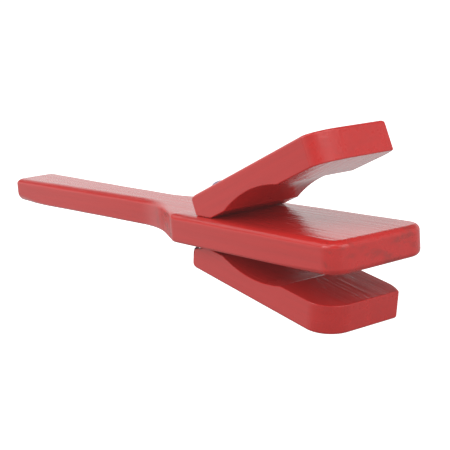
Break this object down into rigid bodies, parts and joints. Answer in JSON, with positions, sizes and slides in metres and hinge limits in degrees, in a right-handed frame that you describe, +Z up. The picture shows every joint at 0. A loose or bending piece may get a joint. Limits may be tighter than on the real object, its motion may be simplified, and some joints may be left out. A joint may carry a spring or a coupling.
{
  "type": "handle castanets",
  "caption": "Wooden hand percussion clapper: hinged clappers above and below a board on a long handle, tied by an elastic cord through their heels.",
  "frame": {"origin": "middle of the flat front end face of the board", "axes": "+X out of the board's front end face, +Z up through the upper clapper; the board and its handle run towards -X"},
  "size_m": [0.2135, 0.0364, 0.0587],
  "materials": {
    "paddle_wood": "gloss",
    "clapper_wood": "gloss",
    "elastic_cord": "matte"
  },
  "bodies": {
    "paddle_body": {"paddle": "paddle_wood", "cord_near_leg": "elastic_cord", "cord_far_leg": "elastic_cord"},
    "upper_clapper_body": {"upper_clapper": "clapper_wood", "cord_upper_loop": "elastic_cord"},
    "lower_clapper_body": {"lower_clapper": "clapper_wood", "cord_lower_loop": "elastic_cord"}
  },
  "joints": [
    {"name": "upper_rock", "type": "hinge", "parent": "paddle_body", "child": "upper_clapper_body", "pos_m": [-0.061, 0, 0.0051], "axis": [0, 1, 0], "range_deg": [0, 21.5]},
    {"name": "lower_rock", "type": "hinge", "parent": "paddle_body", "child": "lower_clapper_body", "pos_m": [-0.064, 0, -0.0051], "axis": [0, 1, 0], "range_deg": [-10.8, 10.7]}
  ]
}
